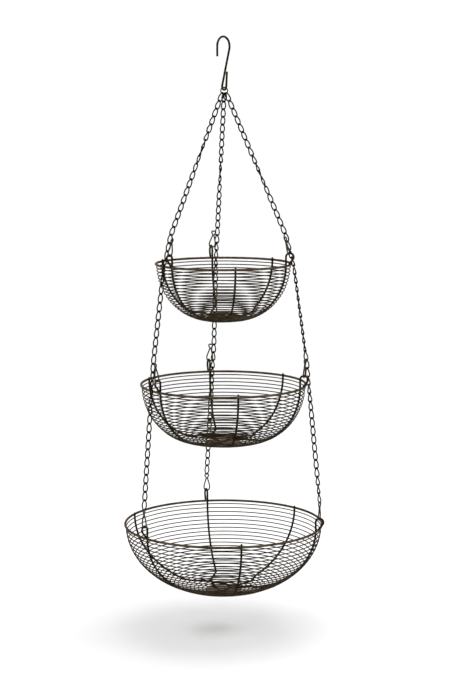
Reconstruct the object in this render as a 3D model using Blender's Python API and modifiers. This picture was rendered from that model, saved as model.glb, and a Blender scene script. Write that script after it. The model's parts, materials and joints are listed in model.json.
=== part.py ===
"""Three-tier hanging wire basket: three steel-wire bowls on three chains under an S-hook.

Metres, +Z up. The origin is the seat of the hook: the inside of its upper bend, where it rests
on a rail. Each bowl has a rim wire, three rib wires that run from a hanging eye down under the
bowl and up to the far rim, ring wires around the outside, and a small plate underneath.
The three chains stand at 90, 210 and 330 degrees around the Z axis.
"""

import math
from collections import namedtuple

import bpy
import bmesh
from mathutils import Matrix, Vector

OBJECT_NAME = "hanging_wire_basket"
GAP = 0.0003

# S-hook: round wire in one upright plane, turned about Z
HOOK_WIRE = 0.0030
HOOK_TURN = math.radians(40)
HOOK_TOP_BEND = 0.0140
HOOK_LOW_BEND = 0.00475
HOOK_LOW_CENTRE = Vector((0.00175, -0.07075))
HOOK_TIP_DROP = 0.0140
HOOK_LOW_TIP = Vector((0.0081, -0.0500))

# Ring that hangs in the lower bend and carries the three chains
RING_RADIUS = 0.0051
RING_WIRE = 0.0018
RING_TOP_Z = -0.0719

# Chain: flat runs of links with open eyes
LINK_PITCH = 0.0124
LINK_HALF_WIDTH = 0.00365
LINK_NECK_HALF_WIDTH = 0.0019
LINK_EYE_HALF_WIDTH = 0.0022
LINK_WIDEST_AT = 0.62
LINK_EYE_TOP_AT = 0.13
LINK_EYE_BOTTOM_AT = 0.90
LINK_THICKNESS = 0.0015
RUN_END_GAP = 0.0008
CHAIN_TOP_RADIUS = 0.0035
CHAIN_TOP_Z = -0.0845
CHAIN_SIDESTEP = 0.0075
RIM_CONTACT = 0.0050
BYPASS_LINKS = 3

# Bowl wires
RIM_WIRE = 0.0030
RIB_WIRE = 0.0025
RING_SET_WIRE = 0.0009
RIB_INSET = RIM_WIRE / 2 + RIB_WIRE / 2 + GAP
WELD_DEPTH = 0.0006
RIB_STANDOFF = 0.0016
RIB_END_HEIGHT = 0.0025
RIB_SIDESTEP = 0.0120
RIB_SIDESTEP_INNER = 0.038
RIB_SIDESTEP_OUTER = 0.068
RIB_STACK = RIB_WIRE + GAP
RIB_STACK_REACH = 0.030
PLATE_THICKNESS = 0.0008

# Hanging eye at the top of a rib wire, a loop that stands out over the rim
EYE_RADIUS = 0.0056
EYE_HEIGHT = 0.0130
EYE_SWEEP_END = math.radians(-35)
EYE_END_OUT = 0.0018
EYE_END_HEIGHT = 0.0029

# Wire clip between a chain link and an eye
CLIP_WIRE = 0.0013
CLIP_SEAT = EYE_RADIUS - RIB_WIRE / 2 - CLIP_WIRE / 2 - 2 * GAP
CLIP_SIDESTEP = 0.0026
# Half of its gourd shape: foot, round body, narrow neck, small head, and the turned-in end
CLIP_HALF_OUTLINE = (
    (0.0, 0.0), (0.0024, 0.00035), (0.0039, 0.0019), (0.0045, 0.0046), (0.0040, 0.0085),
    (0.0024, 0.0145), (0.00095, 0.0195), (0.0021, 0.0222), (0.0030, 0.0244), (0.0011, 0.0265),
)

# One tier: rim radius and height, bowl depth, flat floor radius, plate radius, rings, and the
# chain link that its clip holds: height above the rim and distance from the axis
TIER_FIELDS = "name rim_radius rim_z depth floor_radius plate_radius rings link_height link_radius"
Tier = namedtuple("Tier", TIER_FIELDS)
SMALL = Tier("small", 0.1000, -0.331, 0.0845, 0.019, 0.022, 12, 0.047, 0.0930)
MEDIUM = Tier("medium", 0.1225, -0.511, 0.0865, 0.041, 0.025, 13, 0.042, 0.1265)
LARGE = Tier("large", 0.1475, -0.722, 0.1025, 0.0155, 0.028, 14, 0.0445, 0.1503)
TIERS = (SMALL, MEDIUM, LARGE)
FIRST_RING_DROP = 0.0055
LAST_RING_MARGIN = 0.0060

# Chain name, direction around Z, and the side of the eye that it passes
Chain = namedtuple("Chain", "name angle side")
CHAINS = (
    Chain("back", math.radians(90), -1),
    Chain("left", math.radians(210), -1),
    Chain("right", math.radians(330), 1),
)

# Finishes: colour, roughness and metallic value
Finish = namedtuple("Finish", "name colour roughness metallic")
BRONZE_WIRE = Finish("bronze_wire", (0.070, 0.045, 0.030), 0.42, 0.85)
CHAIN_BRONZE = Finish("chain_bronze", (0.060, 0.048, 0.034), 0.45, 0.85)
CLIP_STEEL = Finish("clip_steel", (0.120, 0.098, 0.074), 0.38, 0.85)

# Mesh detail
RING_STEPS = 24
RIM_STEPS = 36
HANGING_RING_STEPS = 16
TORUS_SIDES = 6
WIRE_SIDES_4 = 0
WIRE_SIDES_6 = 1
BEND_STEP = math.radians(20)
WALL_STEP = 10
PROFILE_POINTS = 400
MERGE_DISTANCE = 0.00001
PIVOT_SIZE = 0.01


def clear_scene():
    for thing in list(bpy.data.objects):
        bpy.data.objects.remove(thing, do_unlink=True)


def new_collection(name):
    collection = bpy.data.collections.new(name)
    bpy.context.scene.collection.children.link(collection)
    return collection


def make_material(finish):
    material = bpy.data.materials.new(finish.name)
    material.use_nodes = True
    shader = material.node_tree.nodes["Principled BSDF"]
    shader.inputs["Base Color"].default_value = (*finish.colour, 1.0)
    shader.inputs["Roughness"].default_value = finish.roughness
    shader.inputs["Metallic"].default_value = finish.metallic
    return material


def link_object(name, data, material, collection):
    thing = bpy.data.objects.new(name, data)
    collection.objects.link(thing)
    data.materials.append(material)
    return thing


def wire_curve(name, points, diameter, resolution):
    """A round wire along the points, with closed ends."""
    curve = bpy.data.curves.new(name, "CURVE")
    curve.dimensions = "3D"
    curve.bevel_depth = diameter / 2
    curve.bevel_resolution = resolution
    curve.use_fill_caps = True
    spline = curve.splines.new("POLY")
    spline.points.add(len(points) - 1)
    for target, point in zip(spline.points, points):
        target.co = (*point, 1.0)
    return curve


def arc_angles(start, end):
    steps = max(2, math.ceil(abs(end - start) / BEND_STEP))
    return [start + (end - start) * i / steps for i in range(steps + 1)]


def arc_points(centre, radius, start, end):
    return [centre + radius * Vector((math.cos(a), math.sin(a))) for a in arc_angles(start, end)]


# ---------------------------------------------------------------- hook and ring

def hook_outline():
    """The S in its own plane: front tip, upper bend, slanting shank, lower bend, rear tip."""
    top_centre = Vector((0.0, HOOK_WIRE / 2 - HOOK_TOP_BEND))
    between = HOOK_LOW_CENTRE - top_centre
    crossing = math.asin((HOOK_TOP_BEND + HOOK_LOW_BEND) / between.length)
    shank_angle = math.atan2(between.y, between.x) + math.pi / 2 - crossing
    rise = HOOK_LOW_TIP - HOOK_LOW_CENTRE - Vector((HOOK_LOW_BEND, 0.0))
    low_end = math.tau - math.atan2(rise.x, rise.y)
    front_tip = top_centre + Vector((-HOOK_TOP_BEND, -HOOK_TIP_DROP))
    upper = arc_points(top_centre, HOOK_TOP_BEND, math.pi, shank_angle)
    lower = arc_points(HOOK_LOW_CENTRE, HOOK_LOW_BEND, shank_angle + math.pi, low_end)
    return [front_tip] + upper + lower + [HOOK_LOW_TIP]


def make_hook(material, collection):
    points = [(p.x, 0.0, p.y) for p in hook_outline()]
    curve = wire_curve("s_hook", points, HOOK_WIRE, WIRE_SIDES_6)
    hook = link_object("s_hook", curve, material, collection)
    hook.rotation_euler = (0.0, 0.0, HOOK_TURN)


def hook_low_axis():
    """Upright line through the lowest point of the hook's lower bend."""
    return Vector((math.cos(HOOK_TURN), math.sin(HOOK_TURN), 0.0)) * HOOK_LOW_CENTRE.x


def make_torus(name, radius, wire, steps, material, collection):
    bpy.ops.mesh.primitive_torus_add(
        major_radius=radius, minor_radius=wire / 2, major_segments=steps, minor_segments=TORUS_SIDES)
    torus = bpy.context.object
    torus.name = name
    torus.data.name = name
    torus.data.materials.append(material)
    torus.data.shade_smooth()
    for holder in list(torus.users_collection):
        holder.objects.unlink(torus)
    collection.objects.link(torus)
    return torus


def make_hanging_ring(material, collection):
    steps = HANGING_RING_STEPS
    ring = make_torus("hanging_ring", RING_RADIUS, RING_WIRE, steps, material, collection)
    centre = hook_low_axis()
    centre.z = RING_TOP_Z - RING_RADIUS
    ring.location = centre
    ring.rotation_euler = (math.pi / 2, 0.0, 0.0)


# ---------------------------------------------------------------- places on a chain's side

def place(chain, radius, sideways, z):
    """A point from its distance out, its step beside the chain's direction, and its height."""
    out = Vector((math.cos(chain.angle), math.sin(chain.angle), 0.0))
    beside = Vector((-out.y, out.x, 0.0))
    return radius * out + sideways * chain.side * beside + Vector((0.0, 0.0, z))


def link_point(tier, chain):
    sidestep = 0.0 if tier is LARGE else CHAIN_SIDESTEP
    return place(chain, tier.link_radius, sidestep, tier.rim_z + tier.link_height)


def rim_point(tier, chain):
    """Where the chain passes the rim and starts to hang free."""
    if tier is SMALL:
        return place(chain, tier.rim_radius + RIM_WIRE / 2 + RIM_CONTACT, CHAIN_SIDESTEP, tier.rim_z)
    top = link_point(MEDIUM, chain)
    fall = link_point(LARGE, chain) - top
    return top + fall.normalized() * BYPASS_LINKS * LINK_PITCH


# ---------------------------------------------------------------- chains

def link_spline(curve, outline):
    spline = curve.splines.new("POLY")
    spline.points.add(len(outline) - 1)
    for target, (x, y) in zip(spline.points, outline):
        target.co = (x, y, 0.0, 1.0)
    spline.use_cyclic_u = True


def chain_run_curve(name, links, pitch):
    """Flat strip of links along -Y: a wavy outline with one kite-shaped eye in each link."""
    right = [(LINK_NECK_HALF_WIDTH, -RUN_END_GAP)]
    for i in range(links):
        right.append((LINK_HALF_WIDTH, -(i + LINK_WIDEST_AT) * pitch))
        foot = (i + 1) * pitch if i < links - 1 else links * pitch - RUN_END_GAP
        right.append((LINK_NECK_HALF_WIDTH, -foot))
    left = [(-x, y) for x, y in reversed(right)]
    curve = bpy.data.curves.new(name, "CURVE")
    curve.dimensions = "2D"
    curve.fill_mode = "BOTH"
    curve.extrude = LINK_THICKNESS / 2
    link_spline(curve, right + left)
    for i in range(links):
        widest = -(i + LINK_WIDEST_AT) * pitch
        eye = [
            (0.0, -(i + LINK_EYE_TOP_AT) * pitch),
            (LINK_EYE_HALF_WIDTH, widest),
            (0.0, -(i + LINK_EYE_BOTTOM_AT) * pitch),
            (-LINK_EYE_HALF_WIDTH, widest),
        ]
        link_spline(curve, eye)
    return curve


def make_chain_run(name, chain, top, bottom, links, material, collection):
    """A straight run from top to bottom, its flat sides facing around the basket."""
    fall = bottom - top
    curve = chain_run_curve(name, links, fall.length / links)
    run = link_object(name, curve, material, collection)
    along = fall.normalized()
    out = Vector((math.cos(chain.angle), math.sin(chain.angle), 0.0))
    across = (out - out.dot(along) * along).normalized()
    axes = Matrix((across, -along, across.cross(-along))).transposed()
    run.matrix_world = Matrix.Translation(top) @ axes.to_4x4()


def links_between(top, bottom):
    return round((bottom - top).length / LINK_PITCH)


def make_hanging_run(upper, lower, chain, material, collection):
    """The run from one tier's rim to the next tier's clip: one turning link, then the rest."""
    top = rim_point(upper, chain)
    bottom = link_point(lower, chain)
    links = links_between(top, bottom)
    turn = top + (bottom - top) / links
    make_chain_run(f"{lower.name}_turn_link_{chain.name}", chain, top, turn, 1, material, collection)
    make_chain_run(f"{lower.name}_chain_{chain.name}", chain, turn, bottom, links - 1, material, collection)


def make_chains(material, collection):
    for chain in CHAINS:
        start = place(chain, CHAIN_TOP_RADIUS, 0.0, CHAIN_TOP_Z) + hook_low_axis()
        end = link_point(SMALL, chain)
        links = links_between(start, end)
        make_chain_run(f"small_chain_{chain.name}", chain, start, end, links, material, collection)
        for tier in (SMALL, MEDIUM):
            top = link_point(tier, chain)
            bottom = rim_point(tier, chain)
            links = links_between(top, bottom)
            name = f"{tier.name}_bypass_chain_{chain.name}"
            make_chain_run(name, chain, top, bottom, links, material, collection)
        make_hanging_run(SMALL, MEDIUM, chain, material, collection)
        make_hanging_run(MEDIUM, LARGE, chain, material, collection)


# ---------------------------------------------------------------- clips

def clip_outline():
    """Open loop, foot at 0, with its two free ends turned in at the head."""
    mirrored = [(-x, y) for x, y in reversed(CLIP_HALF_OUTLINE[1:])]
    return [(x, y, 0.0) for x, y in mirrored + list(CLIP_HALF_OUTLINE)]


def clip_foot(tier, chain):
    """The foot's seat, high inside the eye on the side of the chain link."""
    loop_radius = tier.rim_radius - RIB_INSET + EYE_RADIUS
    loop_centre = place(chain, loop_radius, 0.0, tier.rim_z + EYE_HEIGHT)
    head = place(chain, tier.link_radius, 0.0, tier.rim_z + tier.link_height)
    return loop_centre + (head - loop_centre).normalized() * CLIP_SEAT


def make_clip(tier, chain, material, collection):
    """A clip hangs from beside its chain link, with its foot inside the eye."""
    sidestep = 0.0 if tier is LARGE else CLIP_SIDESTEP
    head = place(chain, tier.link_radius, sidestep, tier.rim_z + tier.link_height)
    foot = clip_foot(tier, chain)
    up = (head - foot).normalized()
    out = Vector((math.cos(chain.angle), math.sin(chain.angle), 0.0))
    beside = Vector((-out.y, out.x, 0.0))
    across = (beside - beside.dot(up) * up).normalized()
    name = f"{tier.name}_clip_{chain.name}"
    curve = wire_curve(name, clip_outline(), CLIP_WIRE, WIRE_SIDES_4)
    clip = link_object(name, curve, material, collection)
    axes = Matrix((across, up, across.cross(up))).transposed()
    clip.matrix_world = Matrix.Translation(foot) @ axes.to_4x4()


# ---------------------------------------------------------------- bowls

def wall_angle(tier, radius):
    """Turn along the wall's quarter ellipse: 0 on the level floor, 90 degrees at the rim."""
    reach = tier.rim_radius - RIB_INSET - tier.floor_radius
    return math.asin(min(max(radius - tier.floor_radius, 0.0) / reach, 1.0))


def rib_rise(tier):
    """Height of a rib wire's centre at the rim over its centre on the plate."""
    return tier.rim_z - rib_floor_z(tier)


def rib_floor_z(tier):
    """Centre height of a rib wire where it lies on the plate."""
    return tier.rim_z - tier.depth + PLATE_THICKNESS + GAP + RIB_WIRE / 2


def smooth(value):
    value = min(max(value, 0.0), 1.0)
    return value * value * (3.0 - 2.0 * value)


def crossing_distance():
    """Distance from the axis to where two rib wires cross, along either wire."""
    return RIB_SIDESTEP * math.tan(math.radians(60))


def rib_point(tier, distance, inset):
    """A rib wire's centre at a signed distance from the axis, positive on its eye's side.

    Near the floor the wire steps sideways past the axis, so that the three wires cross in pairs,
    each over the one before it.
    """
    span = RIB_SIDESTEP_OUTER - RIB_SIDESTEP_INNER
    step = RIB_SIDESTEP * smooth((RIB_SIDESTEP_OUTER - abs(distance)) / span)
    angle = wall_angle(tier, math.hypot(distance, step))
    height = rib_rise(tier) * (1.0 - math.cos(angle)) + inset * math.cos(angle)
    past_crossing = abs(distance + crossing_distance())
    stack = RIB_STACK + RIB_STANDOFF - inset
    lift = stack * smooth(2.0 * (1.0 - past_crossing / RIB_STACK_REACH))
    inward = math.copysign(inset * math.sin(angle), distance)
    return Vector((distance - inward, step, rib_floor_z(tier) + height + lift))


def eye_points(tier, top_radius):
    """The loop over the rim: up the inside, around the top, and back to the rim's outer side."""
    centre = Vector((top_radius + EYE_RADIUS, tier.rim_z + EYE_HEIGHT))
    loop = arc_points(centre, EYE_RADIUS, EYE_SWEEP_END, math.pi)
    end = Vector((tier.rim_radius + EYE_END_OUT, tier.rim_z + EYE_END_HEIGHT))
    return [Vector((p.x, 0.0, p.y)) for p in [end] + loop]


def rib_path(tier, inset):
    """Centre line of a rib wire: eye, wall, floor, far wall, and the plain end over the rim."""
    top_radius = tier.rim_radius - RIB_INSET
    reach = top_radius - tier.floor_radius
    turns = [math.radians(a) for a in range(90 - WALL_STEP, 0, -WALL_STEP)]
    wall = [tier.floor_radius + reach * math.sin(turn) for turn in turns]
    over_wire = [RIB_STACK_REACH * share - crossing_distance() for share in (1.0, 0.5, 0.0, -0.5)]
    across = [RIB_SIDESTEP_INNER, crossing_distance()] + over_wire
    distances = wall + [d for d in across if abs(d) < wall[-1]] + [-d for d in reversed(wall)]
    path = eye_points(tier, top_radius - inset)
    path.append(Vector((top_radius - inset, 0.0, tier.rim_z)))
    path += [rib_point(tier, d, inset) for d in distances]
    path.append(Vector((inset - top_radius, 0.0, tier.rim_z)))
    path.append(Vector((inset - top_radius, 0.0, tier.rim_z + RIB_END_HEIGHT)))
    return path


def make_rib(tier, chain, inset, material, collection):
    name = f"{tier.name}_rib_{chain.name}"
    curve = wire_curve(name, rib_path(tier, inset), RIB_WIRE, WIRE_SIDES_4)
    rib = link_object(name, curve, material, collection)
    rib.rotation_euler = (0.0, 0.0, chain.angle)
    return rib


def wall_stations(tier):
    """Ring places, evenly spaced along the wall: distance from the axis, height, wall slope."""
    top_radius = tier.rim_radius - RIB_INSET
    radii = [top_radius * (1.0 - (i / PROFILE_POINTS) ** 2) for i in range(PROFILE_POINTS + 1)]
    floor_z = rib_floor_z(tier)
    heights = [rib_rise(tier) * (1.0 - math.cos(wall_angle(tier, r))) for r in radii]
    points = [Vector((r, floor_z + height)) for r, height in zip(radii, heights)]
    lengths = [0.0]
    for near, far in zip(points, points[1:]):
        lengths.append(lengths[-1] + (far - near).length)
    inner = next(i for i, p in enumerate(points) if p.x < tier.plate_radius + LAST_RING_MARGIN)
    spacing = (lengths[inner] - FIRST_RING_DROP) / (tier.rings - 1)
    stations = []
    for k in range(tier.rings):
        i = next(j for j, length in enumerate(lengths) if length >= FIRST_RING_DROP + k * spacing)
        slope = (points[i] - points[i - 1]).normalized()
        stations.append((points[i], slope))
    return stations


def ring_profiles(tier):
    """One small triangle for each ring, a corner towards the rib, on the outside of the wall."""
    offset = RIB_WIRE / 2 + RING_SET_WIRE - WELD_DEPTH
    triangles = []
    for point, slope in wall_stations(tier):
        outward = Vector((-slope.y, slope.x))
        centre = point + offset * outward
        inward_angle = math.atan2(-outward.y, -outward.x)
        corners = [inward_angle + math.radians(120) * i for i in range(3)]
        triangles.append([centre + RING_SET_WIRE * Vector((math.cos(a), math.sin(a))) for a in corners])
    return triangles


def make_ring_set(tier, material, collection):
    """All of a bowl's ring wires, turned about Z from their small sections."""
    mesh = bpy.data.meshes.new(f"{tier.name}_rings")
    shape = bmesh.new()
    for triangle in ring_profiles(tier):
        corners = [shape.verts.new((p.x, 0.0, p.y)) for p in triangle]
        for i in range(3):
            shape.edges.new((corners[i], corners[(i + 1) % 3]))
    shape.to_mesh(mesh)
    shape.free()
    rings = link_object(f"{tier.name}_rings", mesh, material, collection)
    screw = rings.modifiers.new("turn", "SCREW")
    screw.axis = "Z"
    screw.angle = math.tau
    screw.steps = RING_STEPS
    screw.render_steps = RING_STEPS
    screw.use_merge_vertices = True
    screw.merge_threshold = MERGE_DISTANCE
    screw.use_normal_calculate = True
    rings.rotation_euler = (0.0, 0.0, math.pi / 2)
    return rings


def as_mesh_object(source, name, collection):
    """Replace an object by a plain mesh of its evaluated shape, with its loose caps joined."""
    bpy.context.view_layer.update()
    evaluated = source.evaluated_get(bpy.context.evaluated_depsgraph_get())
    mesh = bpy.data.meshes.new_from_object(evaluated)
    shape = bmesh.new()
    shape.from_mesh(mesh)
    bmesh.ops.remove_doubles(shape, verts=shape.verts, dist=MERGE_DISTANCE)
    bmesh.ops.recalc_face_normals(shape, faces=shape.faces)
    shape.to_mesh(mesh)
    shape.free()
    placed = source.matrix_world.copy()
    bpy.data.objects.remove(source, do_unlink=True)
    solid = bpy.data.objects.new(name, mesh)
    solid.matrix_world = placed
    collection.objects.link(solid)
    return solid


def make_cage(tier, material, collection, cutters):
    """The ring wires welded to the rear rib wire, as one solid."""
    rib = make_rib(tier, CHAINS[0], 0.0, material, collection)
    rib = as_mesh_object(rib, f"{tier.name}_ring_cage", collection)
    rings = make_ring_set(tier, material, cutters)
    rings = as_mesh_object(rings, f"{tier.name}_rings", cutters)
    rings.hide_render = True
    rings.display_type = "WIRE"
    weld = rib.modifiers.new("weld", "BOOLEAN")
    weld.operation = "UNION"
    weld.solver = "EXACT"
    weld.object = rings


def make_rim(tier, material, collection):
    name = f"{tier.name}_rim"
    rim = make_torus(name, tier.rim_radius, RIM_WIRE, RIM_STEPS, material, collection)
    rim.location = (0.0, 0.0, tier.rim_z)


def make_base_plate(tier, material, collection):
    bpy.ops.mesh.primitive_cylinder_add(
        vertices=RING_STEPS, radius=tier.plate_radius, depth=PLATE_THICKNESS,
        location=(0.0, 0.0, tier.rim_z - tier.depth + PLATE_THICKNESS / 2))
    plate = bpy.context.object
    plate.name = f"{tier.name}_base_plate"
    plate.data.materials.append(material)
    for holder in list(plate.users_collection):
        holder.objects.unlink(plate)
    collection.objects.link(plate)


def make_bowl(tier, material, collection, cutters):
    make_rim(tier, material, collection)
    make_cage(tier, material, collection, cutters)
    for chain in CHAINS[1:]:
        make_rib(tier, chain, RIB_STANDOFF, material, collection)
    make_base_plate(tier, material, collection)


# ---------------------------------------------------------------- pivots

def hang(name, point, children, collection):
    """Parent objects to an empty on the axis that they swing about, without moving them."""
    pivot = bpy.data.objects.new(name, None)
    pivot.empty_display_size = PIVOT_SIZE
    pivot.location = point
    collection.objects.link(pivot)
    for child in children:
        child.parent = pivot
        child.matrix_parent_inverse = Matrix.Translation(point).inverted()


def hang_ring(collection):
    """The ring swings about the hook's wire, and all below it about the ring's lowest wire."""
    on_hook = hook_low_axis()
    on_hook.z = HOOK_LOW_CENTRE.y - HOOK_LOW_BEND
    hang("hanging_ring_pivot", on_hook, [collection.objects["hanging_ring"]], collection)
    on_ring = hook_low_axis()
    on_ring.z = RING_TOP_Z - 2 * RING_RADIUS
    upper = [thing for thing in collection.objects if thing.name.startswith("small_")]
    hang("small_tier_pivot", on_ring, upper, collection)


def in_eye_plane(chain, point):
    """The point moved sideways onto the upright plane of the chain's eyes."""
    out = Vector((math.cos(chain.angle), math.sin(chain.angle), 0.0))
    return point.dot(out) * out + Vector((0.0, 0.0, point.z))


def hang_lower_tier(upper, lower, collection):
    """Each chain sways about both ends of its first link, and the bowl tips on the rear clip.

    The left and right clips swing with their chains, and the rear clip stays in line with the bowl.
    """
    pieces = collection.objects
    for chain in CHAINS:
        turn_link = pieces[f"{lower.name}_turn_link_{chain.name}"]
        rim_pivot = in_eye_plane(chain, rim_point(upper, chain))
        hang(f"{turn_link.name}_pivot", rim_pivot, [turn_link], collection)
        chain_run = pieces[f"{lower.name}_chain_{chain.name}"]
        turn_pivot = in_eye_plane(chain, chain_run.matrix_world.translation)
        clip = [pieces[f"{lower.name}_clip_{chain.name}"]]
        if lower is MEDIUM:
            clip.append(pieces[f"medium_bypass_chain_{chain.name}"])
        if chain.name == "back":
            hang(f"{chain_run.name}_pivot", turn_pivot, [chain_run], collection)
            hang(f"{lower.name}_clip_back_pivot", clip_foot(lower, chain), clip, collection)
        else:
            hang(f"{chain_run.name}_pivot", turn_pivot, [chain_run] + clip, collection)
    names = ["rim", "ring_cage", "rib_left", "rib_right", "base_plate"]
    bowl = [pieces[f"{lower.name}_{name}"] for name in names]
    hang(f"{lower.name}_tier_pivot", clip_foot(lower, CHAINS[0]), bowl, collection)


def main():
    clear_scene()
    parts = new_collection(OBJECT_NAME)
    cutters = new_collection("cutters")
    bronze = make_material(BRONZE_WIRE)
    chain_metal = make_material(CHAIN_BRONZE)
    clip_metal = make_material(CLIP_STEEL)
    make_hook(bronze, parts)
    make_hanging_ring(chain_metal, parts)
    make_chains(chain_metal, parts)
    for tier in TIERS:
        make_bowl(tier, bronze, parts, cutters)
        for chain in CHAINS:
            make_clip(tier, chain, clip_metal, parts)
    bpy.context.view_layer.update()
    hang_ring(parts)
    hang_lower_tier(SMALL, MEDIUM, parts)
    hang_lower_tier(MEDIUM, LARGE, parts)


main()
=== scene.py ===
"""Looks of the three-tier hanging wire basket: bent wires, twisted chain links, clips and welds.

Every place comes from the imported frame: a run of chain lies on its node's long axis, a bowl is
built from the boxes of its rim and plate, and a clip stands on its node's axes.
"""

import json
import math
import random

import bpy
import numpy as np
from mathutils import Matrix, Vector

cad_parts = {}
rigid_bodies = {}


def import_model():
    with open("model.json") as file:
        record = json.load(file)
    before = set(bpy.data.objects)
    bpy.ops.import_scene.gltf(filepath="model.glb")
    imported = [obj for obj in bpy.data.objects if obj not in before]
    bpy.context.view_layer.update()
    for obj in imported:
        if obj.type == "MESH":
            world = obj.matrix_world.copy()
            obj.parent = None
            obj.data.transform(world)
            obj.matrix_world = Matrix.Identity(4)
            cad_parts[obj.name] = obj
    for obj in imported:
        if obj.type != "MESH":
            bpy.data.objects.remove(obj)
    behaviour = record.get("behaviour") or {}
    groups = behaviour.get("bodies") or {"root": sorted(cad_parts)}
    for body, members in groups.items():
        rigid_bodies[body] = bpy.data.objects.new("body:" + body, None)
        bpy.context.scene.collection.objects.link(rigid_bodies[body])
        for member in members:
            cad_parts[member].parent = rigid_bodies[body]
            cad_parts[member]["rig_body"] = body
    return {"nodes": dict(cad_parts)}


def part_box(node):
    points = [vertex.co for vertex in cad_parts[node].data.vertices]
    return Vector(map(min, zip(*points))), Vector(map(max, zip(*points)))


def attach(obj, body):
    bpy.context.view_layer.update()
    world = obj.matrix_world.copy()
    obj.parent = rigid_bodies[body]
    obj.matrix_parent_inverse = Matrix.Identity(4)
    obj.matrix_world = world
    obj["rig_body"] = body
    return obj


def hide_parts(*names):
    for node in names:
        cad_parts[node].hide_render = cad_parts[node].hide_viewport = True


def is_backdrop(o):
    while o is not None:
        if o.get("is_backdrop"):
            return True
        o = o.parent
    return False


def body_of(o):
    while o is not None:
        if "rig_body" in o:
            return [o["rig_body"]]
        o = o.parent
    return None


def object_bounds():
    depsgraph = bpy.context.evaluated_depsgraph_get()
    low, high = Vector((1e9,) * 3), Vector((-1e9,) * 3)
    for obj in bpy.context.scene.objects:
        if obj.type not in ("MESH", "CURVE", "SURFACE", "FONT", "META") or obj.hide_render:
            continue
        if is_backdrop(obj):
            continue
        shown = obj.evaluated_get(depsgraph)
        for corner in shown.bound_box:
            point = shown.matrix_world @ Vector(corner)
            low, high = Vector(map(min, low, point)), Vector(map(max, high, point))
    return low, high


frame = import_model()

UP = np.array((0.0, 0.0, 1.0))

# Wires: diameters; the last one is the CAD's rim, from which its centre line is worked out
HOOK_WIRE = 0.0032
RING_WIRE = 0.0018
LINK_WIRE = 0.0020
RIM_WIRE = 0.0035
RIB_WIRE = 0.0031
BAND_WIRE = 0.00165
CLIP_WIRE = 0.0021
CAD_RIM_WIRE = 0.0030
# Sides of each wire's section
SIDES = {"hook": 16, "ring": 12, "link": 8, "rim": 14, "rib": 12, "band": 8, "clip": 10, "nugget": 8}

# Butt weld that closes a round wire: its angle, the spread of its swelling in radians, and the swelling
# as a share of the wire's radius; then the number of steps round each wire
RING_WELD = (0.9, 0.09, 0.16)
RIM_WELD = (math.radians(255), 0.012, 0.10)
RING_STEPS = 48
RIM_STEPS = 160

# A cut end rounds off over these shares of its radius, and keeps a small flat
CUT_SHARES = (0.0, 0.38, 0.71, 0.92)
CUT_LENGTH = 0.8
CUT_FLAT = 0.12

# S-hook: bends and tips in its own upright plane, turned about Z
HOOK_TURN = math.radians(40)
HOOK_TOP_BEND = 0.0140
HOOK_LOW_BEND = 0.00475
HOOK_LOW_CENTRE = np.array((0.00175, -0.07075))
HOOK_TIP_DROP = 0.0140
HOOK_LOW_TIP = np.array((0.0081, -0.0500))

# Chain link: curb link, narrower at the top, its two ends turned against each other
LINK_PITCH = 0.0124
RUN_END_GAP = 0.0008
RUN_END_FACE = 0.0001
LINK_WIDTH = 0.0079
LINK_EGG = 0.22
LINK_TOP_POINT = 0.22
LINK_FOOT_ROUND = -0.22
LINK_TWIST = math.radians(34)
LINK_POINTS = 30
LINK_WANDER = 0.12
LINK_SEED = 7

# Where the first links hook round the hanging ring, from its lowest point; the spare link beside them
FIRST_LINK_AT = {"back": 0.0, "left": math.radians(-34), "right": math.radians(34)}
SPARE_LINK_AT = math.radians(17)
SPARE_LINK_LENGTH = 0.0095
SPARE_LINK_NARROWING = 0.6

# A chain starts face-on to the front and twists on its way down: drop below the hook's bend, degrees
CHAIN_TWIST = {
    "back": ((0.150, 0), (0.238, 180)),
    "left": ((0.125, 0), (0.203, 180)),
    "right": ((0.150, 0), (0.238, 180), (0.340, 180), (0.375, 255), (0.450, 262), (0.474, 180),
              (0.628, 180), (0.655, 250)),
}

# It turns edge-on as well where it passes a rim
TURN_AT_RIM = {"back": math.radians(58), "left": math.radians(-66), "right": math.radians(66)}
TURN_REACH = 0.034

# Bowl: quarter-ellipse wall with a flat floor, for each tier the floor's radius and the band count
FLOOR_RADIUS = {"small": 0.019, "medium": 0.041, "large": 0.0155}
BANDS = {"small": 24, "medium": 26, "large": 27}
GAP = 0.0003
RIB_INSET = 0.00305
PLATE_THICKNESS = 0.0008
FIRST_BAND_DROP = 0.0048
LAST_BAND_CLEARANCE = 0.004
BAND_SINK = 0.0003
RIB_SIDESTEP = 0.0120
RIB_SIDESTEP_INNER = 0.038
RIB_SIDESTEP_OUTER = 0.068
RIB_STACK = RIB_WIRE
RIB_STACK_REACH = 0.030
RIB_END_HEIGHT = 0.0030
RIB_STEP = math.radians(4)
RIB_FLOOR_STEPS = 16
RIB_POINT_GAP = 0.001
WALL_SAMPLES = 2000
FLOOR_SAMPLES = 200

# Slow waver of a ring wire: the largest sizes of its 2, 3 and 4 waves a turn, and how much of them also
# goes into its radius
WAVER = (0.00035, 0.00022, 0.00014)
WAVER_ASIDE = 0.4

# Points along a ring wire: their spacing, and the fewest in one loop
BAND_SPACING = 0.0048
BAND_MIN_STEPS = 48

# Weld nugget between a ring wire and a rib: half length, radii at its tips, shoulders and middle, how far
# it sinks into the rib, its wander round the bowl in radians, and its range of sizes
NUGGET_HALF = 0.0013
NUGGET_TIP = 0.00012
NUGGET_SHOULDER = 0.00062
NUGGET_MIDDLE = 0.00088
NUGGET_SINK = 0.0001
NUGGET_WANDER = 0.002
NUGGET_SIZES = (0.9, 1.15)

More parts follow.
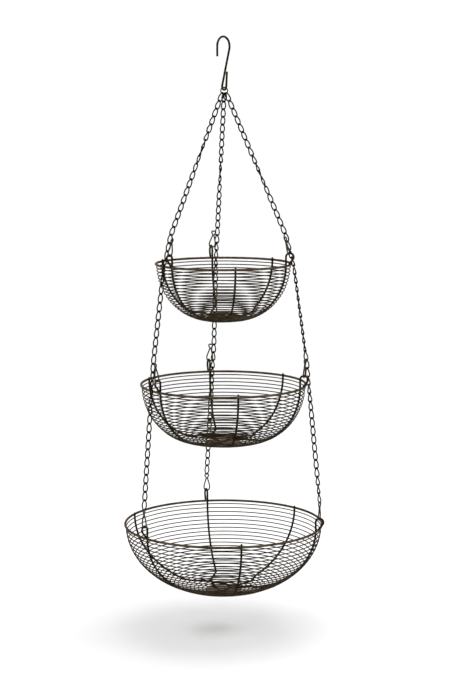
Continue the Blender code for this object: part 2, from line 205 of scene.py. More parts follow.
# Eye at the top of each rib
EYE_RADIUS = 0.0056
EYE_HEIGHT = 0.0130
EYE_SWEEP_END = math.radians(-35)
EYE_END_OUT = 0.0012
EYE_END_HEIGHT = 0.0026
EYE_END_ASIDE = 0.0024

# Half of the plate's outline: share of its radius, share of its thickness
PLATE_OUTLINE = ((0.0, 0.0), (0.25, 0.0), (0.5, 0.0), (0.75, 0.0), (0.93, 0.0), (0.985, 0.18), (1.0, 0.5))
PLATE_STEPS = 72

CHAIN_ANGLES = {"back": 90, "left": 210, "right": 330}
TIERS = ("small", "medium", "large")

# Camera: a long lens, a little to the left of the front and level with the top ring
CAMERA_PLACE = Vector((-0.448, -2.497, -0.096))
CAMERA_AIM = Vector((0.0068, 0.0, -0.3703))
CAMERA_LENS = 88.6
CAMERA_SHIFT = -0.0857
CAMERA_SENSOR = 36.0

# Paper: floor below the basket, then a quarter-round sweep up into the backdrop
FLOOR_DROP = 0.060
PAPER_TONE = (0.78, 0.78, 0.78)
PAPER_ROUGHNESS = 0.85
PAPER_HALF_WIDTH = 7.0
PAPER_FRONT = (-6.0, -2.0, 0.0)
SWEEP_START = 2.2
SWEEP_RADIUS = 1.6
SWEEP_FIRST = 0.1
SWEEP_STEPS = 14
BACKDROP_HEIGHTS = (3.2, 5.0)

# Softboxes that light the basket: place, width and height, watts
SOFTBOXES = {
    "overhead_softbox": ((0.35, 0.05, 1.5), (2.0, 2.0), 43.0),
    "left_softbox": ((-2.2, -1.2, 0.4), (1.2, 1.8), 20.0),
    "right_softbox": ((2.3, -0.8, 0.3), (1.2, 1.8), 16.0),
}
# A pair beside the paper lights the backdrop: distance to each side, depth and height, aim, size, watts
BACKDROP_ASIDE = 2.4
BACKDROP_PLACE = (1.6, 0.2)
BACKDROP_AIM = (0.0, 3.7, 0.0)
BACKDROP_SIZE = (1.0, 2.0)
BACKDROP_POWER = 31.0
WORLD_STRENGTH = 0.66

# Plated finish: mostly metallic, its glancing reflections toned down by the dark lacquer
METALLIC = 0.75
PLATE_METALLIC = 0.25
COAT_SHINE = 0.25
EDGE_TINT = (1.0, 0.77, 0.53)
# Each finish: dark, base and bright tone, roughness, rubbed wear, edge reflections, metallic share
FINISHES = {
    "antique_bronze": ((0.007, 0.0045, 0.0015), (0.022, 0.014, 0.006), (0.062, 0.040, 0.020),
                       0.42, 0.30, 0.30, METALLIC),
    "rim_bronze": ((0.024, 0.017, 0.010), (0.064, 0.047, 0.030), (0.125, 0.092, 0.062),
                   0.38, 0.45, 0.45, METALLIC),
    "dark_chain": ((0.004, 0.003, 0.001), (0.011, 0.008, 0.004), (0.030, 0.022, 0.012),
                   0.44, 0.25, 0.22, METALLIC),
    "ring_wire_bronze": ((0.012, 0.009, 0.005), (0.038, 0.029, 0.018), (0.085, 0.068, 0.046),
                         0.42, 0.30, 0.30, METALLIC),
    "plate_bronze": ((0.110, 0.081, 0.061), (0.240, 0.182, 0.143), (0.360, 0.285, 0.225),
                     0.55, 0.45, 0.45, PLATE_METALLIC),
    "clip_wire": ((0.020, 0.015, 0.010), (0.052, 0.042, 0.031), (0.120, 0.098, 0.074),
                  0.38, 0.40, 0.35, METALLIC),
}
# Where on their noise the tones and the rubbed patches lie
TONE_STOPS = (0.30, 0.52, 0.74)
RUBBED_STOPS = (0.60, 0.78)
RUBBED_GAIN = 2.1
GLOSSIER, DULLER = 0.09, 0.16


# ---------------------------------------------------------------- wires

def unit(vector):
    return vector / np.linalg.norm(vector)


def tangents(points, closed):
    if closed:
        return np.array([unit(v) for v in np.roll(points, -1, 0) - np.roll(points, 1, 0)])
    return np.array([unit(v) for v in np.gradient(points, axis=0)])


def turned(vector, axis, angle):
    return (vector * math.cos(angle) + np.cross(axis, vector) * math.sin(angle)
            + axis * (axis @ vector) * (1 - math.cos(angle)))


def carried_sides(directions):
    """One side vector for each point, carried along the wire without twisting."""
    first = np.eye(3)[int(np.argmin(np.abs(directions[0])))]
    side = unit(np.cross(directions[0], first))
    sides = [side]
    for before, after in zip(directions, directions[1:]):
        axis = np.cross(before, after)
        size = np.linalg.norm(axis)
        if size > 1e-9:
            side = turned(side, axis / size, math.asin(min(size, 1.0)))
        side = unit(side - after * (after @ side))
        sides.append(side)
    return np.array(sides)


def closing_twist(directions, sides):
    """Angle that a closed wire's side vector is out by after one way round."""
    around = carried_sides(np.vstack((directions, directions[:1])))[-1]
    across = np.cross(directions[0], sides[0])
    return math.atan2(around @ across, around @ sides[0])


class Wires:
    """Round wires gathered into one mesh."""

    def __init__(self):
        self.vertices = []
        self.faces = []

    def add(self, points, diameter, sides, closed=False, radii=None):
        points = np.array(points, float)
        directions = tangents(points, closed)
        side = carried_sides(directions)
        count = len(points)
        if closed:
            twist = closing_twist(directions, side)
            side = np.array([turned(s, d, -twist * i / count)
                             for i, (s, d) in enumerate(zip(side, directions))])
        other = np.cross(directions, side)
        radius = np.full(count, diameter / 2) if radii is None else np.array(radii)
        start = len(self.vertices)
        for i in range(count):
            for k in range(sides):
                angle = math.tau * k / sides
                offset = math.cos(angle) * side[i] + math.sin(angle) * other[i]
                self.vertices.append(points[i] + radius[i] * offset)
        last = count if closed else count - 1
        for i in range(last):
            here = start + i * sides
            there = start + (i + 1) % count * sides
            for k in range(sides):
                m = (k + 1) % sides
                self.faces.append((here + k, here + m, there + m, there + k))
        if not closed:
            self.faces.append(tuple(start + k for k in reversed(range(sides))))
            self.faces.append(tuple(start + (count - 1) * sides + k for k in range(sides)))

    def rounded(self, points, diameter, sides):
        """An open wire with its cut ends rounded off."""
        points = np.array(points, float)
        directions = tangents(points, False)
        r = diameter / 2
        reach = [r * CUT_LENGTH * math.cos(math.asin(s)) for s in CUT_SHARES]
        head = [points[0] - directions[0] * out for out in reach]
        tail = [points[-1] + directions[-1] * out for out in reversed(reach)]
        tips = [max(s, CUT_FLAT) * r for s in CUT_SHARES]
        radii = tips + [r] * len(points) + tips[::-1]
        self.add(np.vstack((head, points, tail)), diameter, sides, False, radii)

    def build(self, name, material):
        return mesh_object(name, self.vertices, self.faces, material, math.radians(50))


def mesh_object(name, vertices, faces, material, sharp_from=None):
    """A smooth-shaded mesh in the scene, with its sharp edges kept sharp where an angle is given."""
    mesh = bpy.data.meshes.new(name)
    mesh.from_pydata([tuple(v) for v in vertices], [], faces)
    mesh.shade_smooth()
    if sharp_from is not None:
        mesh.set_sharp_from_angle(angle=sharp_from)
    mesh.materials.append(material)
    piece = bpy.data.objects.new(name, mesh)
    bpy.context.scene.collection.objects.link(piece)
    return piece


def even_turns(steps):
    return [math.tau * i / steps for i in range(steps)]


def weld_radii(diameter, turns, weld):
    """Radius of a round wire at each turn, swollen at its butt weld."""
    place, spread, swelling = weld
    return [diameter / 2 * (1.0 + swelling * math.exp(-((a - place) / spread) ** 2)) for a in turns]


def smooth_path(corners, spacing):
    """Catmull-Rom curve through the corners, with points about the spacing apart."""
    corners = [np.array(c, float) for c in corners]
    padded = [2 * corners[0] - corners[1]] + corners + [2 * corners[-1] - corners[-2]]
    path = []
    for before, start, end, after in zip(padded, padded[1:], padded[2:], padded[3:]):
        steps = max(2, round(np.linalg.norm(end - start) / spacing))
        for i in range(steps):
            t = i / steps
            path.append(0.5 * (2 * start + (end - before) * t
                               + (2 * before - 5 * start + 4 * end - after) * t * t
                               + (3 * start - before - 3 * end + after) * t ** 3))
    path.append(corners[-1])
    return np.array(path)


def arc(centre, radius, start, end, step=math.radians(8)):
    steps = max(2, math.ceil(abs(end - start) / step))
    turns = [start + (end - start) * i / steps for i in range(steps + 1)]
    return [centre + radius * np.array((math.cos(a), math.sin(a))) for a in turns]


def straight(start, end, steps):
    """Points from start up to, and without, end."""
    start, end = np.array(start, float), np.array(end, float)
    return [start + (end - start) * i / steps for i in range(steps)]


def node_points(name):
    mesh = frame["nodes"][name].data
    points = np.empty(len(mesh.vertices) * 3)
    mesh.vertices.foreach_get("co", points)
    return points.reshape(-1, 3)


def long_axis(points):
    """Centre and unit directions of a set of points, longest first, the first one pointing down."""
    centre = points.mean(0)
    directions = np.linalg.svd(points - centre, full_matrices=False)[2]
    if directions[0][2] > 0:
        directions[0] = -directions[0]
    return centre, directions


# ---------------------------------------------------------------- materials

def add_node(tree, kind, **inputs):
    node = tree.nodes.new(kind)
    for name, value in inputs.items():
        node.inputs[name.replace("_", " ")].default_value = value
    return node


def ramp(tree, factor, stops):
    node = tree.nodes.new("ShaderNodeValToRGB")
    elements = node.color_ramp.elements
    elements[0].position, elements[0].color = stops[0][0], (*stops[0][1], 1)
    elements[1].position, elements[1].color = stops[-1][0], (*stops[-1][1], 1)
    for position, colour in stops[1:-1]:
        element = elements.new(position)
        element.color = (*colour, 1)
    tree.links.new(factor, node.inputs["Fac"])
    return node.outputs["Color"]


def new_material(name):
    """A material with its node tree, its shader and the object's own coordinates."""
    material = bpy.data.materials.new(name)
    material.use_nodes = True
    tree = material.node_tree
    place = tree.nodes.new("ShaderNodeTexCoord").outputs["Object"]
    return material, tree, tree.nodes["Principled BSDF"], place


def metal(name):
    """Plated wire: blotchy tone, rubbed bright patches, fine drawing grain and small pits."""
    dark, base, bright, roughness, wear, edge, metallic = FINISHES[name]
    material, tree, shader, place = new_material(name)
    links = tree.links

    blotch = add_node(tree, "ShaderNodeTexNoise", Scale=95.0, Detail=5.0, Roughness=0.62)
    links.new(place, blotch.inputs["Vector"])
    tone = ramp(tree, blotch.outputs["Fac"], tuple(zip(TONE_STOPS, (dark, base, bright))))

    rub = add_node(tree, "ShaderNodeTexNoise", Scale=420.0, Detail=3.0, Roughness=0.7)
    links.new(place, rub.inputs["Vector"])
    rubbed = ramp(tree, rub.outputs["Fac"], tuple(zip(RUBBED_STOPS, ((0, 0, 0), (wear, wear, wear)))))
    worn = tree.nodes.new("ShaderNodeMix")
    worn.data_type = "RGBA"
    links.new(rubbed, worn.inputs["Factor"])
    links.new(tone, worn.inputs["A"])
    worn.inputs["B"].default_value = (*[min(1.0, c * RUBBED_GAIN) for c in bright], 1)
    links.new(worn.outputs["Result"], shader.inputs["Base Color"])

    gloss = tree.nodes.new("ShaderNodeMapRange")
    gloss.inputs["To Min"].default_value = roughness - GLOSSIER
    gloss.inputs["To Max"].default_value = roughness + DULLER
    links.new(blotch.outputs["Fac"], gloss.inputs["Value"])
    links.new(gloss.outputs["Result"], shader.inputs["Roughness"])

    grain = add_node(tree, "ShaderNodeTexNoise", Scale=1400.0, Detail=2.0)
    pits = add_node(tree, "ShaderNodeTexVoronoi", Scale=900.0)
    links.new(place, grain.inputs["Vector"])
    links.new(place, pits.inputs["Vector"])
    height = tree.nodes.new("ShaderNodeMath")
    height.operation = "MULTIPLY_ADD"
    height.inputs[1].default_value = 0.5
    links.new(pits.outputs["Distance"], height.inputs[0])
    links.new(grain.outputs["Fac"], height.inputs[2])
    relief = add_node(tree, "ShaderNodeBump", Strength=0.25, Distance=0.0001)
    links.new(height.outputs["Value"], relief.inputs["Height"])
    links.new(relief.outputs["Normal"], shader.inputs["Normal"])
    shader.inputs["Metallic"].default_value = metallic
    shader.inputs["Specular IOR Level"].default_value = COAT_SHINE
    shader.inputs["Specular Tint"].default_value = (*[edge * c for c in EDGE_TINT], 1)
    return material


def pale(name, colour, roughness):
    """Seamless studio paper: nearly even, with a faint soft mottling."""
    material, tree, shader, place = new_material(name)
    mottle = add_node(tree, "ShaderNodeTexNoise", Scale=3.0, Detail=2.0)
    tree.links.new(place, mottle.inputs["Vector"])
    lighter = tuple(min(1.0, c + 0.01) for c in colour)
    tone = ramp(tree, mottle.outputs["Fac"], ((0.3, colour), (0.7, lighter)))
    tree.links.new(tone, shader.inputs["Base Color"])
    shader.inputs["Roughness"].default_value = roughness
    return material


# ---------------------------------------------------------------- hook and ring

def in_hook_plane(point):
    x, z = point
    return np.array((x * math.cos(HOOK_TURN), x * math.sin(HOOK_TURN), z))


def make_hook(material):
    """The S: front tip, upper bend, slanting shank, lower bend, rear tip."""
    top_centre = np.array((0.0, HOOK_WIRE / 2 - HOOK_TOP_BEND))
    between = HOOK_LOW_CENTRE - top_centre
    crossing = math.asin((HOOK_TOP_BEND + HOOK_LOW_BEND) / np.linalg.norm(between))
    shank = math.atan2(between[1], between[0]) + math.pi / 2 - crossing
    rise = HOOK_LOW_TIP - HOOK_LOW_CENTRE - np.array((HOOK_LOW_BEND, 0.0))
    low_end = math.tau - math.atan2(rise[0], rise[1])
    front_tip = top_centre + np.array((-HOOK_TOP_BEND, -HOOK_TIP_DROP))
    upper = arc(top_centre, HOOK_TOP_BEND, math.pi, shank)
    lower = arc(HOOK_LOW_CENTRE, HOOK_LOW_BEND, shank + math.pi, low_end)
    outline = straight(front_tip, upper[0], 8) + upper
    outline += straight(upper[-1], lower[0], 24)[1:] + lower
    outline += straight(lower[-1], HOOK_LOW_TIP, 8)[1:] + [HOOK_LOW_TIP]
    wires = Wires()
    wires.rounded([in_hook_plane(p) for p in outline], HOOK_WIRE, SIDES["hook"])
    piece = wires.build("s_hook_wire", material)
    finish_piece(piece, "hook", "bronze_wire", "s_hook")


def ring_circle():
    """Centre and radius of the hanging ring's wire."""
    low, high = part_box("hanging_ring")
    return np.array((low + high) / 2), (high.z - low.z - RING_WIRE) / 2


def make_hanging_ring(material):
    centre, radius = ring_circle()
    turns = even_turns(RING_STEPS)
    circle = [centre + radius * np.array((math.cos(a), 0.0, math.sin(a))) for a in turns]
    wires = Wires()
    wires.add(circle, RING_WIRE, SIDES["ring"], True, weld_radii(RING_WIRE, turns, RING_WELD))
    piece = wires.build("hanging_ring_wire", material)
    finish_piece(piece, "ring", "chain_bronze", "hanging_ring")


def finish_piece(piece, body, slot, *nodes):
    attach(piece, body)
    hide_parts(*nodes)


# ---------------------------------------------------------------- chains

def run_line(name):
    """Top and bottom of a run of chain, from its node's end faces."""
    points = node_points(name)
    centre, directions = long_axis(points)
    down = directions[0]
    along = (points - centre) @ down
    ends = [points[np.abs(along - edge) < RUN_END_FACE].mean(0) for edge in (along.min(), along.max())]
    return ends[0] - down * RUN_END_GAP, ends[1] + down * RUN_END_GAP


def link_loop(centre, down, across, pitch):
    """A closed curb link: an egg whose two ends are turned against each other."""
    third = np.cross(down, across)
    half = (pitch + 2 * LINK_WIRE) / 2 - LINK_WIRE / 2
    loop = []
    for i in range(LINK_POINTS):
        t = math.tau * i / LINK_POINTS
        along = -half * math.cos(t)
        width = (LINK_WIDTH - LINK_WIRE) / 2 * math.sin(t) * (1.0 - LINK_EGG * math.cos(t))
        top_share = (1.0 + math.cos(t)) / 2
        spread = abs(math.sin(t)) ** (LINK_FOOT_ROUND + (LINK_TOP_POINT - LINK_FOOT_ROUND) * top_share)
        twist = LINK_TWIST * math.cos(t)
        aside = width * spread * (across * math.cos(twist) + third * math.sin(twist))
        loop.append(centre + down * along + aside)
    return loop


def chain_turn(side, height):
    """Turn of a link's plane away from the front, at its height."""
    drops, twists = zip(*CHAIN_TWIST[side])
    twist = math.radians(float(np.interp(-height, drops, twists)))
    rims = [(low.z + high.z) / 2 for low, high in (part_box("small_rim"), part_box("medium_rim"))]
    nearness = sum(math.exp(-((height - rim) / TURN_REACH) ** 2) for rim in rims)
    return twist + TURN_AT_RIM[side] * min(nearness, 1.0)


def on_ring(angle):
    """Point on the hanging ring's wire, by its angle from the ring's lowest point."""
    centre, radius = ring_circle()
    return centre + radius * np.array((math.sin(angle), 0.0, -math.cos(angle)))


def add_spare_link(wires, facing):
    """A small unused link that hangs on the ring between two chains."""
    top = on_ring(SPARE_LINK_AT) + UP * RING_WIRE / 2
    pitch = SPARE_LINK_LENGTH - LINK_WIRE
    loop = link_loop(top - UP * pitch / 2, -UP, facing * SPARE_LINK_NARROWING, pitch)
    wires.add(loop, LINK_WIRE, SIDES["link"], True)


def make_chain_piece(name, body, nodes, side, facing, material, draw):
    """The links of one or two runs that move together."""
    wires = Wires()
    for node in nodes:
        top, bottom = run_line(node)
        links = round(np.linalg.norm(bottom - top) / LINK_PITCH)
        if node.startswith("small_chain"):
            top = on_ring(FIRST_LINK_AT[side]) + UP * RING_WIRE / 2
        down = unit(bottom - top)
        pitch = np.linalg.norm(bottom - top) / links
        flat = unit(facing - down * (facing @ down))
        for i in range(links):
            centre = top + down * pitch * (i + 0.5)
            swing = chain_turn(side, centre[2]) + draw.uniform(-LINK_WANDER, LINK_WANDER)
            across = turned(flat, down, swing)
            wires.add(link_loop(centre, down, across, pitch), LINK_WIRE, SIDES["link"], True)
    if name == "small_links_right":
        add_spare_link(wires, facing)
    piece = wires.build(name, material)
    finish_piece(piece, body, "chain_bronze", *nodes)


def make_chains(material):
    draw = random.Random(LINK_SEED)
    view = unit(np.array(CAMERA_PLACE) * np.array((1.0, 1.0, 0.0)))
    facing = np.cross(UP, view)
    for side in CHAIN_ANGLES:
        upper = [f"small_chain_{side}", f"small_bypass_chain_{side}"]
        make_chain_piece(f"small_links_{side}", "small_tier", upper, side, facing, material, draw)
        for tier in ("medium", "large"):
            turn = [f"{tier}_turn_link_{side}"]
            make_chain_piece(f"{tier}_first_link_{side}", f"{tier}_turn_{side}", turn, side, facing,
                             material, draw)
            runs = [f"{tier}_chain_{side}"]
            if tier == "medium" and side != "back":
                runs.append(f"medium_bypass_chain_{side}")
            make_chain_piece(f"{tier}_links_{side}", f"{tier}_chain_{side}", runs, side, facing,
                             material, draw)
    make_chain_piece("medium_bypass_links_back", "medium_clip_back", ["medium_bypass_chain_back"],
                     "back", facing, material, draw)


# ---------------------------------------------------------------- clips

# Half of a clip's gourd outline, foot at 0: body, neck, head, and the end that hooks round the link;
# each point is across, up and out of the clip's plane
CLIP_OUTLINE = (
    (0.0, 0.0, 0.0), (0.0017, 0.0002, 0.0), (0.0032, 0.0012, 0.0), (0.0042, 0.0032, 0.0),
    (0.0045, 0.0056, 0.0), (0.0041, 0.0088, 0.0), (0.0030, 0.0126, 0.0), (0.0018, 0.0165, 0.0001),
    (0.0010, 0.0192, 0.0003), (0.0013, 0.0208, 0.0005), (0.0025, 0.0226, 0.0006),
    (0.0029, 0.0243, 0.0007), (0.0021, 0.0257, 0.0007), (0.0008, 0.0262, 0.0006),
    (-0.0002, 0.0255, 0.0005),
)
CLIP_FOOT_FACE = 0.0002
CLIP_SPACING = 0.0006


def make_clips(material):
    for tier in TIERS:
        for side in CHAIN_ANGLES:
            node = f"{tier}_clip_{side}"
            points = node_points(node)
            centre, directions = long_axis(points)
            up = -directions[0]
            across = directions[1]
            thick = np.cross(across, up)
            along = (points - centre) @ up
            foot = points[along < along.min() + CLIP_FOOT_FACE].mean(0) + up * CLIP_WIRE / 2
            foot = foot + across * ((centre - foot) @ across)
            right = [foot + across * x + up * y + thick * z for x, y, z in CLIP_OUTLINE]
            left = [foot - across * x + up * y - thick * z for x, y, z in CLIP_OUTLINE[1:]]
            path = smooth_path(left[::-1] + right, CLIP_SPACING)
            wires = Wires()
            wires.rounded(path, CLIP_WIRE, SIDES["clip"])
            piece = wires.build(f"{tier}_clip_wire_{side}", material)
            finish_piece(piece, body_of(frame["nodes"][node])[0], "clip_steel", node)


# ---------------------------------------------------------------- bowls

class Bowl:
    """Sizes of one bowl, from the boxes of its rim and plate, and the curve of its wall."""

    def __init__(self, name):
        rim_low, rim_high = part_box(f"{name}_rim")
        plate_low, plate_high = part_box(f"{name}_base_plate")
        self.name = name
        self.body = f"{name}_tier"
        self.rim_z = (rim_low.z + rim_high.z) / 2
        self.rim_radius = rim_high.x - CAD_RIM_WIRE / 2
        self.plate_z = plate_low.z
        self.plate_radius = plate_high.x
        self.floor_radius = FLOOR_RADIUS[name]
        self.top_radius = self.rim_radius - RIB_INSET
        self.floor_z = plate_low.z + PLATE_THICKNESS + GAP + RIB_WIRE / 2
        self.rise = self.rim_z - self.floor_z

    def turn(self, radius):
        """Turn of the quarter ellipse at a radius, 0 on the flat floor."""
        reach = self.top_radius - self.floor_radius
        return math.asin(min(max(radius - self.floor_radius, 0.0) / reach, 1.0))

    def wall(self, angle):
        """Radius and height of the rib wire's centre at a turn of the quarter ellipse."""
        reach = self.top_radius - self.floor_radius
        radius = self.floor_radius + reach * math.sin(angle)
        return np.array((radius, self.floor_z + self.rise * (1.0 - math.cos(angle))))


def ease(value):
    value = min(max(value, 0.0), 1.0)
    return value * value * (3.0 - 2.0 * value)


def rib_point(bowl, distance):
    """A rib wire's centre at a signed distance from the axis; near the floor it steps sideways."""
    span = RIB_SIDESTEP_OUTER - RIB_SIDESTEP_INNER
    step = RIB_SIDESTEP * ease((RIB_SIDESTEP_OUTER - abs(distance)) / span)
    height = bowl.rise * (1.0 - math.cos(bowl.turn(math.hypot(distance, step))))
    crossing = RIB_SIDESTEP * math.tan(math.radians(60))
    lift = RIB_STACK * ease(2.0 * (1.0 - abs(distance + crossing) / RIB_STACK_REACH))
    return np.array((distance, step, bowl.floor_z + height + lift))


def rib_path(bowl):
    """Centre line of a rib: eye, wall, floor, far wall and plain end, along its own X axis."""
    centre = np.array((bowl.top_radius + EYE_RADIUS, bowl.rim_z + EYE_HEIGHT))
    loop = arc(centre, EYE_RADIUS, EYE_SWEEP_END, math.pi)
    end = np.array((bowl.rim_radius + EYE_END_OUT, bowl.rim_z + EYE_END_HEIGHT))
    eye = straight(end, loop[0], 5) + loop
    last = len(eye) - 1
    path = [np.array((p[0], EYE_END_ASIDE * ease(1.0 - i / last), p[1])) for i, p in enumerate(eye)]
    top = np.array((bowl.top_radius, 0.0, bowl.rim_z))
    path += straight(path[-1], top, 6)[1:]
    steps = round(math.pi / 2 / RIB_STEP)
    turns = [math.pi / 2 - RIB_STEP * i for i in range(steps)]
    radii = [bowl.wall(a)[0] for a in turns if bowl.wall(a)[0] > RIB_SIDESTEP_INNER]
    inner = [RIB_SIDESTEP_INNER * (1.0 - i / RIB_FLOOR_STEPS) for i in range(2 * RIB_FLOOR_STEPS + 1)]
    inner = [d for d in inner if abs(d) < radii[-1] - RIB_POINT_GAP]
    distances = radii + inner + [-r for r in reversed(radii)]
    path += [rib_point(bowl, d) for d in distances]
    far = np.array((-bowl.top_radius, 0.0, bowl.rim_z + RIB_END_HEIGHT))
    path += straight((-bowl.top_radius, 0.0, bowl.rim_z), far, 3)[1:] + [far]
    return np.array(path)


def about_z(points, degrees):
    a = math.radians(degrees)
    spin = np.array(((math.cos(a), -math.sin(a), 0), (math.sin(a), math.cos(a), 0), (0, 0, 1)))
    return np.array(points) @ spin.T


def make_ribs(bowl, material):
    stood_for = {"back": "ring_cage", "left": "rib_left", "right": "rib_right"}
    for side, degrees in CHAIN_ANGLES.items():
        wires = Wires()
        wires.rounded(about_z(rib_path(bowl), degrees), RIB_WIRE, SIDES["rib"])
        piece = wires.build(f"{bowl.name}_rib_wire_{side}", material)
        finish_piece(piece, bowl.body, "bronze_wire", f"{bowl.name}_{stood_for[side]}")


def band_stations(bowl):
    """Ring places at even steps along the wall: point and outward direction."""
    angles = np.linspace(math.pi / 2, 0.0, WALL_SAMPLES)
    points = np.array([bowl.wall(a) for a in angles])
    floor = np.linspace(bowl.floor_radius, 0.0, FLOOR_SAMPLES)[1:]
    points = np.vstack((points, [(r, bowl.floor_z) for r in floor]))
    lengths = np.concatenate(((0.0,), np.cumsum(np.linalg.norm(np.diff(points, axis=0), axis=1))))
    last = lengths[int(np.argmax(points[:, 0] < bowl.plate_radius + LAST_BAND_CLEARANCE))]
    places = np.linspace(FIRST_BAND_DROP, last, BANDS[bowl.name])
    stations = []
    for s in places:
        i = int(np.searchsorted(lengths, s))
        slope = unit(points[i] - points[i - 1])
        stations.append((points[i], np.array((-slope[1], slope[0]))))
    return stations


def band_loop(station, draw):
    """One ring wire: nearly round, held at the ribs and slowly wavering between them."""
    point, outward = station
    centre = point + outward * (RIB_WIRE / 2 + BAND_WIRE / 2 - BAND_SINK)
    phase = [draw.uniform(0.0, math.tau) for _ in range(3)]
    size = [draw.uniform(0.0, most) for most in WAVER]
    loop = []
    for a in even_turns(max(BAND_MIN_STEPS, round(centre[0] * math.tau / BAND_SPACING))):
        held = math.sin(3 * (a - math.pi / 2)) ** 2
        waver = held * sum(s * math.sin((k + 2) * a + p) for k, (s, p) in enumerate(zip(size, phase)))
        radius = centre[0] + WAVER_ASIDE * waver
        loop.append((radius * math.cos(a), radius * math.sin(a), centre[1] + waver))
    return loop


def make_bands(bowl, material):
    """All ring wires of a bowl, with a weld nugget where each one crosses a rib."""
    draw = random.Random(bowl.name)
    wires = Wires()
    for station in band_stations(bowl):
        wires.add(band_loop(station, draw), BAND_WIRE, SIDES["band"], True)
        point, outward = station
        spot = point + outward * (RIB_WIRE / 2 - NUGGET_SINK)
        for k in range(6):
            a = math.radians(30 + 60 * k) + draw.uniform(-NUGGET_WANDER, NUGGET_WANDER)
            out = np.array((math.cos(a), math.sin(a), 0.0))
            middle = spot[0] * out + spot[1] * UP
            aside = np.array((-out[1], out[0], 0.0))
            if spot[0] > RIB_SIDESTEP_OUTER:
                add_nugget(wires, middle, aside, draw.uniform(*NUGGET_SIZES))
    piece = wires.build(f"{bowl.name}_ring_wires", material)
    finish_piece(piece, bowl.body, "bronze_wire", f"{bowl.name}_ring_cage")


def add_nugget(wires, centre, along, scale):
    """A small bead of weld metal."""
    line = [centre + along * NUGGET_HALF * scale * s for s in (-1.0, -0.75, -0.3, 0.3, 0.75, 1.0)]
    half = [NUGGET_TIP, NUGGET_SHOULDER * scale, NUGGET_MIDDLE * scale]
    wires.add(line, 2 * NUGGET_MIDDLE, SIDES["nugget"], False, half + half[::-1])


def make_rim(bowl, material):
    """The rim wire, closed by a butt weld."""
    turns = even_turns(RIM_STEPS)
    loop = [(bowl.rim_radius * math.cos(a), bowl.rim_radius * math.sin(a), bowl.rim_z) for a in turns]
    wires = Wires()
    wires.add(loop, RIM_WIRE, SIDES["rim"], True, weld_radii(RIM_WIRE, turns, RIM_WELD))
    piece = wires.build(f"{bowl.name}_rim_wire", material)
    finish_piece(piece, bowl.body, "bronze_wire", f"{bowl.name}_rim")


def make_plate(bowl, material):
    """The pressed base plate: a flat disc with a rounded edge."""
    lower = [(r * bowl.plate_radius, h * PLATE_THICKNESS) for r, h in PLATE_OUTLINE]
    upper = [(r, PLATE_THICKNESS - h) for r, h in reversed(lower[:-1])]
    rows = [(r, h) for r, h in lower + upper if r > 0]
    steps = PLATE_STEPS
    vertices = [(r * math.cos(a), r * math.sin(a), bowl.plate_z + h) for r, h in rows
                for a in even_turns(steps)]
    faces = []
    for i in range(len(rows) - 1):
        for k in range(steps):
            m = (k + 1) % steps
            faces.append((i * steps + k, i * steps + m, (i + 1) * steps + m, (i + 1) * steps + k))
    faces.append(tuple(reversed(range(steps))))
    faces.append(tuple((len(rows) - 1) * steps + k for k in range(steps)))
    piece = mesh_object(f"{bowl.name}_plate_disc", vertices, faces, material, math.radians(40))
    finish_piece(piece, bowl.body, "bronze_wire", f"{bowl.name}_base_plate")


# ---------------------------------------------------------------- stage

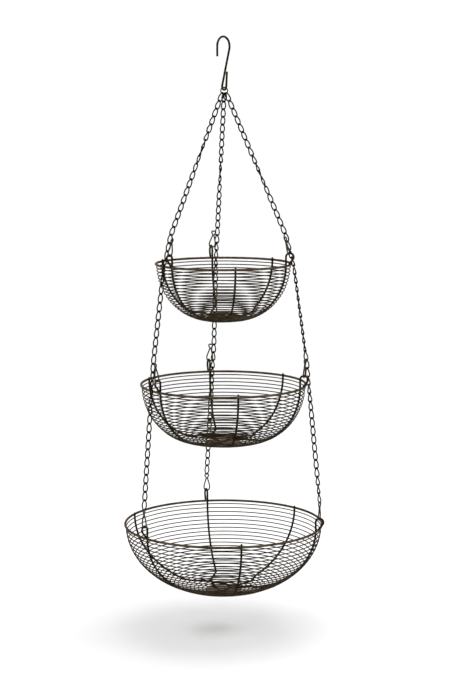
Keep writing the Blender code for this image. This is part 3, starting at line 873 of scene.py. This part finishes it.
def make_stage():
    """Pale paper floor that curves up into a backdrop."""
    low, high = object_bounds()
    floor_z = low.z - FLOOR_DROP
    profile = [(y, 0.0) for y in (*PAPER_FRONT, SWEEP_START)]
    profile += [(SWEEP_START + SWEEP_RADIUS * math.sin(a), SWEEP_RADIUS - SWEEP_RADIUS * math.cos(a))
                for a in np.linspace(SWEEP_FIRST, math.pi / 2, SWEEP_STEPS)]
    profile += [(SWEEP_START + SWEEP_RADIUS, z) for z in BACKDROP_HEIGHTS]
    vertices = [(x, y, floor_z + z) for x in (-PAPER_HALF_WIDTH, PAPER_HALF_WIDTH) for y, z in profile]
    count = len(profile)
    faces = [(i, i + count, i + count + 1, i + 1) for i in range(count - 1)]
    paper = pale("studio_paper", PAPER_TONE, PAPER_ROUGHNESS)
    floor = mesh_object("paper_floor", vertices, faces, paper)
    floor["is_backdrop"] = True


def add_light(name, place, aim, size, power):
    light = bpy.data.lights.new(name, "AREA")
    light.shape = "RECTANGLE"
    light.size = size[0]
    light.size_y = size[1]
    light.energy = power
    lamp = bpy.data.objects.new(name, light)
    lamp.location = place
    lamp.rotation_euler = (Vector(aim) - Vector(place)).to_track_quat("-Z", "Y").to_euler()
    bpy.context.scene.collection.objects.link(lamp)


def make_lights():
    low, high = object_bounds()
    middle = (low + high) / 2
    for name, (place, size, power) in SOFTBOXES.items():
        add_light(name, place, middle, size, power)
    for name, x in (("backdrop_left", -BACKDROP_ASIDE), ("backdrop_right", BACKDROP_ASIDE)):
        add_light(name, (x, *BACKDROP_PLACE), BACKDROP_AIM, BACKDROP_SIZE, BACKDROP_POWER)
    world = bpy.data.worlds.new("studio_white")
    world.use_nodes = True
    background = world.node_tree.nodes["Background"]
    background.inputs["Color"].default_value = (1.0, 1.0, 1.0, 1.0)
    background.inputs["Strength"].default_value = WORLD_STRENGTH
    bpy.context.scene.world = world


def make_camera():
    camera = bpy.data.cameras.new("camera")
    camera.lens = CAMERA_LENS
    camera.sensor_width = CAMERA_SENSOR
    camera.shift_y = CAMERA_SHIFT
    camera.dof.use_dof = False
    camera.clip_end = 50.0
    eye = bpy.data.objects.new("camera", camera)
    eye.location = CAMERA_PLACE
    eye.rotation_euler = (CAMERA_AIM - CAMERA_PLACE).to_track_quat("-Z", "Y").to_euler()
    bpy.context.scene.collection.objects.link(eye)
    bpy.context.scene.camera = eye


def main():
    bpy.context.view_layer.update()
    bpy.context.scene.view_settings.view_transform = "Standard"
    bronze = metal("antique_bronze")
    rim_bronze = metal("rim_bronze")
    chain_bronze = metal("dark_chain")
    band_bronze = metal("ring_wire_bronze")
    plate_bronze = metal("plate_bronze")
    clip_steel = metal("clip_wire")
    make_camera()
    make_stage()
    make_lights()
    make_hook(bronze)
    make_hanging_ring(chain_bronze)
    make_chains(chain_bronze)
    make_clips(clip_steel)
    for name in TIERS:
        bowl = Bowl(name)
        make_rim(bowl, rim_bronze)
        make_ribs(bowl, bronze)
        make_bands(bowl, band_bronze)
        make_plate(bowl, plate_bronze)


main()
